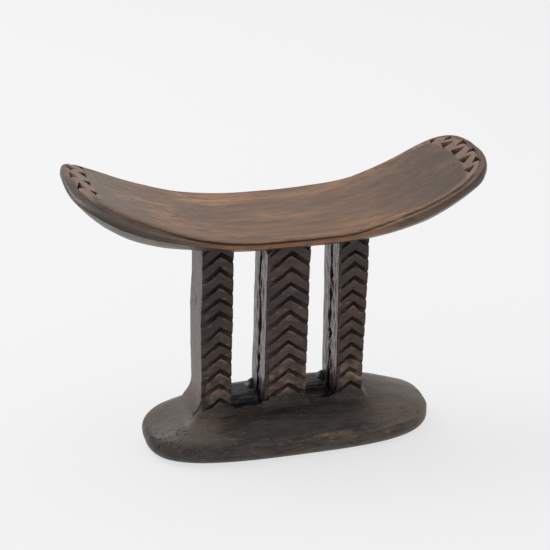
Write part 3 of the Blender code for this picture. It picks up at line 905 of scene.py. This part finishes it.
def base_top(x, y, size):
    """Height of the base's top, a squared dome, with a hollowed collar rising to each post."""
    along = np.abs(x - size.offset) / (size.length / 2)
    across = np.abs(y) / (size.width / 2)
    share = np.clip((along ** size.plan_power + across ** size.plan_power) ** (1 / size.plan_power), 0, 1)
    height = size.rim_height + (size.crown_height - size.rim_height) * (1 - share ** size.dome_power)
    rise = np.zeros_like(height)
    for number, (foot_x, foot_width) in enumerate(post_feet()):
        out_x = np.maximum(np.abs(x - foot_x) - foot_width / 2, 0)
        out_y = np.maximum(np.abs(y) - POST_DEPTH / 2, 0)
        away = np.hypot(out_x, out_y)
        leftward = (x < foot_x) * (out_x / np.maximum(away, 1e-6)) ** 2 * (number == 0)
        frontward = (out_y / np.maximum(away, 1e-6)) ** 2
        reach = size.collar_reach * (1 + 1.5 * leftward + 0.3 * frontward)
        tall = size.collar_height * (1 + 1.6 * leftward - 0.1 * frontward)
        rise = np.maximum(rise, tall * np.clip(1 - away / reach, 0, 1) ** 2.3)
    sunk = np.zeros_like(height)
    for low, high in spaces_between():
        inside = ease(low - 3.5 * MM, low - 0.8 * MM, x) * (1 - ease(high + 0.8 * MM, high + 3.5 * MM, x))
        slope = ease(-TROUGH_FRONT, -8.0 * MM, y) * np.clip((TROUGH_FRONT - y) / (20.5 * MM), 0, 1)
        sunk = np.maximum(sunk, inside * slope)
    return height + rise * (1 - ease(0.0, 0.25, sunk)) - size.trough_depth * sunk


def base_mesh(size):
    """The base's skin before its pricks, with its marks of wear, painted shade and painted sheen."""
    outline = closed_outline(size.length / 2, size.width / 2, size.plan_power, size.plan_power, 560)
    flat = np.column_stack([outline, np.zeros(len(outline))])
    outline = outline * (1 - WOBBLE * (1 + unevenness(flat, 50 * MM, 41)))[:, None] + (size.offset, 0)
    x, y = outline.T
    centre = np.column_stack([size.offset + (x - size.offset) * 0.58, np.zeros(len(x))])
    inward = inward_from(outline, centre)

    # the dome's edge is crisp on the right and rubbed round on the left
    rounding = (0.7 + 3.0 * ease(0.0, -45 * MM, x)) * MM + 0.25 * MM * (1 + unevenness(flat, 30 * MM, 42))
    start = outline + inward * rounding[:, None]
    share = np.linspace(0, 1, 93)[:-1, None]
    top_xy = centre + (start - centre) * share[..., None]
    top_z = base_top(top_xy[..., 0], top_xy[..., 1], size)
    rim_z = base_top(x, y, size)
    start_z = base_top(start[:, 0], start[:, 1], size)

    # down the edge: the rounding, the upright wall and the rounding into the underside
    lower = size.edge_rounding
    bend = np.linspace(0, 1, 11)[:, None]
    corner_z = (1 - bend) ** 2 * start_z + 2 * bend * (1 - bend) * rim_z + bend ** 2 * (rim_z - rounding)
    wall = np.linspace(0, 1, 10)[1:-1, None]
    wall_z = (rim_z - rounding) * (1 - wall) + lower * wall
    foot = np.linspace(0, math.pi / 2, 9)[:, None]
    foot_z = lower * (1 - np.sin(foot)) + np.zeros_like(rim_z)
    foot_inset = lower * (1 - np.cos(foot)) + np.zeros_like(rim_z)
    inset = np.concatenate([rounding * (1 - bend) ** 2, np.zeros_like(wall_z), foot_inset])
    edge_xy = outline + inward * inset[..., None]
    edge_z = np.concatenate([corner_z, wall_z, foot_z])
    under_share = np.linspace(1, 0, 9)[1:, None]
    under_xy = centre + (edge_xy[-1] - centre) * under_share[..., None]
    rings = stack_rings((top_xy, top_z), (edge_xy, edge_z), (under_xy, np.zeros(under_xy.shape[:2])))

    z = rings[..., 2]
    slow = unevenness(rings, 30 * MM, 43)
    quick = unevenness(rings, 5 * MM, 44, (2.5, 1, 1))
    fibre = unevenness(rings, 1.6 * MM, 45, (12, 1, 1))
    facets = tool_facets(rings, 9 * MM, 46, (1.8, 1.0))
    tooled = 0.14 * slow + 0.06 * quick + 0.03 * fibre + 0.18 * facets - 0.05
    rings[..., 2] = z + MM * ease(0.3 * MM, 4 * MM, z) * tooled

    parts = [len(share), len(bend), len(wall) + len(foot), len(under_share)]
    level = np.repeat(np.arange(4), parts)[:, None]
    turned = np.concatenate([np.zeros(parts[0]), bend[:, 0], np.ones(parts[2] + parts[3])])[:, None]
    return skin_rings("base_carving", rings, base_marks(rings, level, turned), folded=True)


def base_marks(rings, level, turned):
    """Wear, darker staining with painted shade, and painted sheen on the base. Level is 0 on top, 1 on the
    edge's rounding, 2 on the wall and 3 underneath, and turned is how far round the rounding a point lies."""
    x, y = rings[..., 0], rings[..., 1]
    on_top = level == 0
    patchy = 0.5 + 0.6 * unevenness(rings, 8 * MM, 47, (2.5, 1, 1))
    arris = hump(turned, 0.5, 0.3) * (level == 1) * ease(-45 * MM, -10 * MM, x)
    bright = hump(x, 12 * MM, 12 * MM) + 0.7 * hump(x, 35 * MM, 12 * MM) + 0.25
    slope_wear = 0.30 * on_top * ease(-11 * MM, -14 * MM, y) * hump(y, -16.5 * MM, 6 * MM)
    # painted shade: black in the hollows between the posts
    between = np.zeros_like(x)
    for low, high in spaces_between():
        inside = ease(low - 1 * MM, low + 1 * MM, x) * (1 - ease(high - 1 * MM, high + 1 * MM, x))
        between = np.maximum(between, inside * (1 - ease(9 * MM, 13.5 * MM, np.abs(y))) * on_top)
    # painted shade: darker in the crease round each post's foot
    crease = np.zeros_like(x)
    for foot_x, foot_width in post_feet():
        out_x = np.maximum(np.abs(x - foot_x) - foot_width / 2, 0)
        away = np.hypot(out_x, np.maximum(np.abs(y) - POST_DEPTH / 2, 0))
        crease = np.maximum(crease, 1 - ease(0.0, 2.2 * MM, away))
    left_end = ease(-22 * MM, -40 * MM, x)
    # painted sheen towards the left end, strongest near the left post's foot, fading further left and down
    # the rounding
    left_sheen = left_end * (1 - 0.6 * ease(-46 * MM, -62 * MM, x)) * (1 - ease(0.1, 0.8, turned))
    # painted shade: the front of the dome darker, as it faces away from the light; the left end's rounding
    # also darker towards the wall
    low_front = on_top * ease(-10 * MM, -16 * MM, y) * (1 - ease(25 * MM, 45 * MM, x)) * (1 - 0.7 * left_end)
    stain_and_shade = between + 0.35 * crease * (x > -35 * MM) + 0.60 * low_front + 0.25 * turned * left_end
    return {
        "worn": np.clip((0.7 * arris * bright + slope_wear) * patchy, 0, 1),
        "stain_and_shade": np.clip(stain_and_shade, 0, 1),
        # painted sheen at the left end, and mauve-grey over the right end's top and rounding
        "painted_sheen": np.clip(0.75 * left_sheen + ease(30 * MM, 52 * MM, x) * (level < 2), 0, 1),
        "polish": between,
    }


def prick_tree():
    """A loose cluster of small pricks sunk into the top of the base."""
    tree, given = new_tree("end_pricks", {
        "Count": "Int", "Centre": "Vector", "Spread": "Vector", "Turn": "Float", "Radius": "Float",
        "Floor radius": "Float", "Height": "Float", "Drop": "Vector", "Seed": "Int", "Wood": "Material",
    })
    chance = add_node(tree, "FunctionNodeRandomValue", {"data_type": "FLOAT_VECTOR"}, {
        "Min": (-1.0, -1.0, 0.0), "Max": (1.0, 1.0, 0.0), "Seed": given["Seed"],
    }).outputs[0]
    spread = add_node(tree, "ShaderNodeVectorMath", {"operation": "MULTIPLY_ADD"}, {
        0: chance, 1: given["Spread"], 2: given["Centre"],
    }).outputs[0]
    above = add_node(tree, "ShaderNodeVectorRotate", {"rotation_type": "Z_AXIS"}, {
        "Vector": spread, "Center": given["Centre"], "Angle": given["Turn"],
    }).outputs[0]
    # the pricks are painted black as their shade
    blade = shading_blade(
        tree, 6, given["Radius"], given["Floor radius"], given["Height"], given["Drop"], 1.0,
    )
    next_seed = add_node(tree, "ShaderNodeMath", PLUS, {0: given["Seed"], 1: 5.0}).outputs[0]
    scale = add_node(tree, "FunctionNodeRandomValue", {"data_type": "FLOAT_VECTOR"}, {
        "Min": (0.6, 0.6, 0.8), "Max": (1.5, 1.2, 1.2), "Seed": next_seed,
    }).outputs[0]
    pricks = add_node(tree, "GeometryNodeInstanceOnPoints", inputs={
        "Points": places_below(tree, given, given["Count"], above), "Instance": blade, "Scale": scale,
    })
    cut_away(tree, given, pricks.outputs[0])
    return tree


# ---------------------------------------------------------------- settings

def length(name, description, default):
    """A size in metres that a user can change."""
    return bpy.props.FloatProperty(
        name=name, description=description, default=default, unit="LENGTH", min=0.0, precision=4,
    )


def number(name, description, default):
    """A bare number, such as a share or a power."""
    return bpy.props.FloatProperty(name=name, description=description, default=default)


def count(name, description, default):
    """How many there are of something."""
    return bpy.props.IntProperty(name=name, description=description, default=default, min=0)


def angle(name, description, degrees):
    """An angle, given in degrees and kept in radians."""
    return bpy.props.FloatProperty(
        name=name, description=description, default=math.radians(degrees), subtype="ANGLE",
    )


def colour(name, description, code):
    """A colour from its sRGB hex code."""
    return bpy.props.FloatVectorProperty(
        name=name, description=description, default=srgb(code), subtype="COLOR", min=0.0, max=1.0,
    )


class PillowSettings(bpy.types.PropertyGroup):
    length: length("Length", "Tip to tip", PILLOW_HIGH.x - PILLOW_LOW.x)
    width: length("Width", "Front to back", PILLOW_HIGH.y - PILLOW_LOW.y)
    thickness: length("Thickness", "At the middle of the saddle", PILLOW_THICKNESS)
    tip_thickness: length("Tip thickness", "At the two ends", 0.0056)
    saddle_height: length("Saddle height", "Floor to the top at mid-length", PILLOW_LOW.z + PILLOW_THICKNESS)
    tip_rise: length("Tip rise", "How far the tips stand above it", PILLOW_RISE)
    left_rise: length("Left rise", "How far the left half stands above the even curve", 0.0011)
    left_lift: length("Left lift", "How far the left tip is turned up beyond that", 0.0008)
    right_lift: length("Right lift", "How far the right tip is turned up beyond the even curve", 0.0008)
    turn: number("Turn", "Share of the half-length where the top turns from flat to rising", 0.63)
    turn_power: number("Turn power", "How sharply the top turns", 3.3)
    underside_power: number("Underside power", "How late the underside rises to the right tip", 4.6)
    left_underside_power: number("Left underside power", "The same towards the left tip", 3.9)
    outer_cuts: count("Outer cuts", "Chip cuts in the outer row", 4)
    inner_cuts: count("Inner cuts", "Chip cuts in the inner row", 5)
    cut_pitch: length("Cut pitch", "From one chip cut to the next", 0.0112)
    cut_radius: length("Cut radius", "Centre to corner of a chip cut", 0.0040)
    cut_floor: length("Cut floor", "Centre to corner at the floor of a cut", 0.0025)
    cut_depth: length("Cut depth", "Depth of the chip cuts", 0.0016)
    ribbon_rise: length("Ribbon rise", "How proud the zigzag stands of the wood round it", 0.00035)
    cut_unevenness: length("Cut unevenness", "How far a chip cut strays along its row", 0.0004)


class PostSettings(bpy.types.PropertyGroup):
    ledge_depth: length("Ledge depth", "How far each ledge is cut in", 0.0017)
    slope: number("Slope", "Fall of each arm of a ledge per metre sideways", 0.72)
    unevenness: length("Unevenness", "How far a ledge strays from its place", 0.0005)
    chatter: number("Chatter", "Share by which the depth of a cut wanders", 0.9)
    chatter_size: length("Chatter size", "Length of that wandering", 0.004)
    # the upper lips' rubbed colour is partly a painted highlight
    lip_wear_and_highlight: number("Lip wear and highlight", "How rubbed the upper lips are", 0.9)


class BaseSettings(bpy.types.PropertyGroup):
    length: length("Length", "Left to right", BASE_HIGH.x - BASE_LOW.x)
    width: length("Width", "Front to back", BASE_HIGH.y - BASE_LOW.y)
    offset: bpy.props.FloatProperty(
        name="Offset", description="Middle of the base off the pillow's middle",
        default=(BASE_HIGH.x + BASE_LOW.x) / 2, unit="LENGTH",
    )
    rim_height: length("Rim height", "Floor to the edge of the dome", 0.0102)
    crown_height: length("Crown height", "Floor to the top of the dome", BASE_HIGH.z)
    edge_rounding: length("Edge rounding", "Between the underside and the upright edge", 0.0060)
    plan_power: number("Plan power", "2 is an oval, larger is squarer", 2.86)
    dome_power: number("Dome power", "Larger keeps the crown flatter", 2.6)
    collar_reach: length("Collar reach", "How far the hollowed foot of a post runs out", 0.0040)
    collar_height: length("Collar height", "How high it rises", 0.0030)
    trough_depth: length("Trough depth", "How deep the base is hollowed between the posts", 0.0105)
    pricks: count("Pricks", "Small pricks at the left end", 42)


class FinishSettings(bpy.types.PropertyGroup):
    # black: the pores, and painted shade in the hollows, cuts, grooves, undersides and between the parts
    black: colour("Black stain", "Stain left in the hollows", "#0d0a09")
    pillow_dark: colour("Pillow dark grain", "Dark streaks of the pillow", "#4a3426")
    pillow_mid: colour("Pillow mid grain", "Light streaks of the pillow", "#6f5038")
    pillow_warm: colour("Pillow warm grain", "Warm patches of the pillow", "#946b42")
    pillow_worn: colour("Pillow rubbed edges", "Bare wood on the pillow's edges", "#8a5a34")
    # painted sheen: the pale room mirrored on the pillow's ends, underside and left wall
    pillow_film: colour("Pillow film", "Dull film of old wax on the pillow's ends", "#5b4c45")
    pillow_ribbon: colour("Ribbon", "Raised zigzag across the tips", "#765c4f")
    post_dark: colour("Post dark grain", "Dark streaks of the posts", "#1d1513")
    post_mid: colour("Post mid grain", "Light streaks of the posts", "#30231f")
    post_warm: colour("Post warm grain", "Warm patches of the posts", "#432f25")
    # also painted as a highlight on the lips of the ledges
    post_worn: colour("Post rubbed edges", "Bare wood on the lips of the ledges", "#8a6f5c")
    # painted sheen on the posts' outer and hollowed sides
    post_film: colour("Post film", "Dull film of old wax on the outer faces", "#5c4c47")
    base_dark: colour("Base dark grain", "Dark streaks of the base", "#1f1a17")
    base_mid: colour("Base mid grain", "Light streaks of the base", "#3d342d")
    base_warm: colour("Base warm grain", "Warm patches of the base", "#4b3c2e")
    base_worn: colour("Base rubbed edges", "Bare wood on the base's edges", "#7c6350")
    # painted sheen on the base's ends
    base_film: colour("Base film", "Dull film of old wax on the base's ends", "#5f544b")


class StageSettings(bpy.types.PropertyGroup):
    lens: number("Lens", "Focal length in millimetres on a 36 mm sensor", 98.2)
    distance: length("Distance", "Camera to the point it looks at", 0.6688)
    turn: angle("Turn", "Camera's turn about the object, from the front to its right", -14.98)
    lift: angle("Lift", "Camera's height above the horizon", 22.24)
    aim: bpy.props.FloatVectorProperty(
        name="Aim", description="Point that the camera looks at", default=(-0.0002, 0.0005, 0.0780),
        subtype="TRANSLATION",
    )
    floor: colour("Floor", "Pale translucent sheet under the object", "#727272")
    floor_glow: number("Floor glow", "Light that comes up through the sheet", 0.68)
    sky: number("Room light", "Strength of the even light of the room", 0.62)


# ---------------------------------------------------------------- operators

class BuildPillow(bpy.types.Operator):
    """Carve the pillow and its chip-cut tips"""
    bl_idname = "neck_rest.pillow"
    bl_label = "Pillow"

    def execute(self, context):
        size, finish = context.scene.rest_pillow, context.scene.rest_finish
        look = palette(finish, "pillow")
        look.update(pores=0.55, specular=0.5, drawn=10.0, flecks=0.08, ribbon=(*finish.pillow_ribbon, 1.0))
        wood = carved_wood("waxed_hardwood_pillow", look, 0.24, 0.40)
        pillow = run_tree(pillow_mesh(size), border_tree(), {
            "Outer cuts": size.outer_cuts, "Inner cuts": size.inner_cuts, "Pitch": size.cut_pitch,
            "Top radius": 2 * size.cut_radius - size.cut_floor, "Floor radius": size.cut_floor,
            "Height": 2 * size.cut_depth, "Drop": (0.0, 0.0, -size.cut_depth), "Half length": size.length / 2,
            "Half width": size.width / 2, "Unevenness": size.cut_unevenness, "Seed": 4, "Wood": wood,
        })
        finish_piece(pillow, "pillow")
        return {"FINISHED"}


class BuildPosts(bpy.types.Operator):
    """Carve the three posts and their ledges"""
    bl_idname = "neck_rest.posts"
    bl_label = "Posts"

    def execute(self, context):
        scene = context.scene
        size = scene.rest_posts
        look = palette(scene.rest_finish, "post")
        look.update(pores=0.5, specular=0.42, drawn=6.0, flecks=0.36)
        tree = ledge_tree()
        for name, plan in POST_PLANS.items():
            toned = dict(look)
            for key in ("dark", "mid", "warm"):
                toned[key] = (*(share * plan["tone"] for share in look[key][:3]), 1.0)
            wood = carved_wood("stained_hardwood_" + name, toned, 0.2, 0.42)
            post = post_mesh(name, plan, size, scene.rest_pillow, scene.rest_base)
            run_tree(post, tree, {
                "Depth": size.ledge_depth, "Chatter": size.chatter, "Chatter scale": 1 / size.chatter_size,
                "Lip scale": 0.6 / size.chatter_size, "Lip wear and highlight": size.lip_wear_and_highlight, "Wood": wood,
            })
            finish_piece(post, name)
        return {"FINISHED"}


class BuildBase(bpy.types.Operator):
    """Carve the base and its pricked left end"""
    bl_idname = "neck_rest.base"
    bl_label = "Base"

    def execute(self, context):
        size = context.scene.rest_base
        look = palette(context.scene.rest_finish, "base")
        look.update(pores=0.6, specular=0.42, drawn=4.0, flecks=0.42)
        wood = carved_wood("stained_hardwood_base", look, 0.10, 0.43)
        base = run_tree(base_mesh(size), prick_tree(), {
            "Count": size.pricks, "Centre": (-0.0560, -0.0150, 0.1), "Spread": (0.0100, 0.0048, 0.0),
            "Turn": math.radians(-34), "Radius": PRICK_RADIUS, "Floor radius": 0.35 * PRICK_RADIUS,
            "Height": PRICK_DEPTH, "Drop": (0.0, 0.0, -0.6 * PRICK_DEPTH), "Seed": 2, "Wood": wood,
        })
        finish_piece(base, "base")
        return {"FINISHED"}


FLOOR_HALF = 4.0


def softbox(name, place, aim, width, power, tint="#ffffff"):
    """A square studio light facing a point."""
    lamp = bpy.data.lights.new(name, "AREA")
    lamp.shape = "SQUARE"
    lamp.size = width
    lamp.energy = power
    lamp.color = srgb(tint)
    obj = bpy.data.objects.new(name, lamp)
    obj.location = place
    obj.rotation_euler = (Vector(aim) - Vector(place)).to_track_quat("-Z", "Y").to_euler()
    bpy.context.scene.collection.objects.link(obj)


class BuildStage(bpy.types.Operator):
    """Set the pale floor, the soft lights and the camera"""
    bl_idname = "neck_rest.stage"
    bl_label = "Stage"

    def execute(self, context):
        scene = context.scene
        setting = scene.rest_stage
        mesh = bpy.data.meshes.new("floor")
        corners = [(x * FLOOR_HALF, y * FLOOR_HALF, 0) for x, y in ((-1, -1), (1, -1), (1, 1), (-1, 1))]
        mesh.from_pydata(corners, [], [(0, 1, 2, 3)])
        paper = bpy.data.materials.new("backlit_acrylic_sheet")
        paper.use_nodes = True
        shader = paper.node_tree.nodes["Principled BSDF"]
        shader.inputs["Base Color"].default_value = (*setting.floor, 1.0)
        shader.inputs["Roughness"].default_value = 0.9
        shader.inputs["Specular IOR Level"].default_value = 0.0
        shader.inputs["Emission Color"].default_value = (1.0, 1.0, 1.0, 1.0)
        shader.inputs["Emission Strength"].default_value = setting.floor_glow
        mesh.materials.append(paper)
        floor = bpy.data.objects.new("floor", mesh)
        scene.collection.objects.link(floor)

        world = bpy.data.worlds.new("room")
        world.use_nodes = True
        world.node_tree.nodes["Background"].inputs["Color"].default_value = (1.0, 1.0, 1.0, 1.0)
        world.node_tree.nodes["Background"].inputs["Strength"].default_value = setting.sky
        scene.world = world
        softbox("key", (-0.9, 0.7, 1.5), (0, 0, 0.05), 1.3, 22.0)
        softbox("top", (0.2, 0.1, 1.9), (0, 0, 0.05), 1.6, 12.0)

        camera = bpy.data.objects.new("camera", bpy.data.cameras.new("camera"))
        camera.data.lens = setting.lens
        camera.data.sensor_width = 36.0
        flat = math.cos(setting.lift)
        away = Vector((math.sin(setting.turn) * flat, -math.cos(setting.turn) * flat, math.sin(setting.lift)))
        camera.location = Vector(setting.aim) + away * setting.distance
        camera.rotation_euler = (-away).to_track_quat("-Z", "Y").to_euler()
        scene.collection.objects.link(camera)
        scene.camera = camera
        scene.view_settings.view_transform = "Standard"
        return {"FINISHED"}


class NeckRestPanel(bpy.types.Panel):
    """Lists the builders of the neck rest"""
    bl_idname = "VIEW3D_PT_neck_rest"
    bl_label = "Neck rest"
    bl_space_type = "VIEW_3D"
    bl_region_type = "UI"
    bl_category = "Neck rest"

    def draw(self, context):
        for operator in OPERATORS:
            self.layout.operator(operator.bl_idname)


SETTINGS = {
    "rest_pillow": PillowSettings, "rest_posts": PostSettings, "rest_base": BaseSettings,
    "rest_finish": FinishSettings, "rest_stage": StageSettings,
}
OPERATORS = (BuildBase, BuildPosts, BuildPillow, BuildStage)
CLASSES = (*SETTINGS.values(), *OPERATORS, NeckRestPanel)


def register():
    for item in CLASSES:
        bpy.utils.register_class(item)
    for name, group in SETTINGS.items():
        setattr(bpy.types.Scene, name, bpy.props.PointerProperty(type=group))


def unregister():
    for name in SETTINGS:
        delattr(bpy.types.Scene, name)
    for item in reversed(CLASSES):
        bpy.utils.unregister_class(item)


def main():
    register()
    bpy.ops.neck_rest.stage()
    bpy.ops.neck_rest.base()
    bpy.ops.neck_rest.posts()
    bpy.ops.neck_rest.pillow()


if __name__ == "__main__":
    main()
